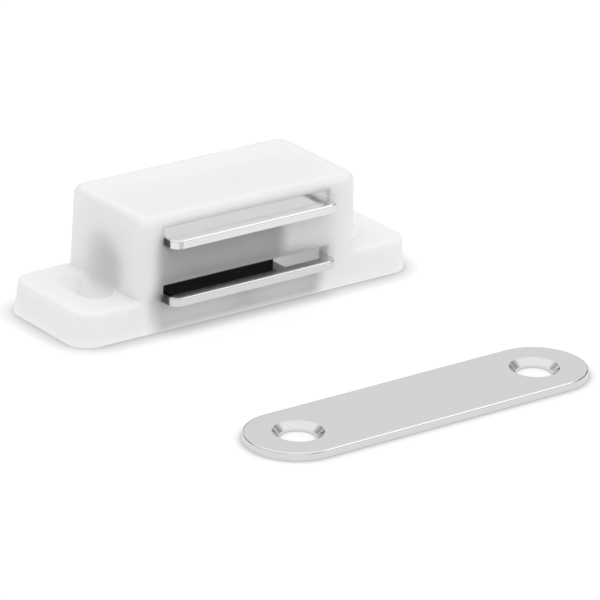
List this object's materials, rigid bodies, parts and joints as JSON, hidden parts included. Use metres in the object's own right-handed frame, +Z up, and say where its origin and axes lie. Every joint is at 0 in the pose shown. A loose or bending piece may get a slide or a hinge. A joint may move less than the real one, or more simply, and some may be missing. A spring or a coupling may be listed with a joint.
{
  "type": "magnetic catch",
  "caption": "Magnetic cabinet catch: a pale moulded casing with slotted ears holds a magnet between two steel pole plates, with a flat rounded strike plate for the door.",
  "frame": {"origin": "middle of the casing's base, on the plane that rests on the cabinet", "axes": "+X along the casing from ear to ear, +Y to the back of the casing, +Z up from the mounting surface; the pole plates point along -Y, towards the strike plate"},
  "size_m": [0.046, 0.0525, 0.0135],
  "materials": {
    "moulded_plastic": "satin natural moulding, slightly milky",
    "pole_steel": "bright nickel plated, smooth",
    "ferrite": "dark grey sintered, matt",
    "strike_steel": "bright plated, fine rolled grain"
  },
  "bodies": {
    "casing": {"casing": "moulded_plastic", "strike_plate": "strike_steel"},
    "magnet_pack": {"upper_pole_plate": "pole_steel", "lower_pole_plate": "pole_steel", "magnet": "ferrite"}
  },
  "joints": [
    {"name": "pack_float", "type": "slide", "parent": "casing", "child": "magnet_pack", "axis": [0, 0, 1], "range_m": [0, 0.001]}
  ]
}
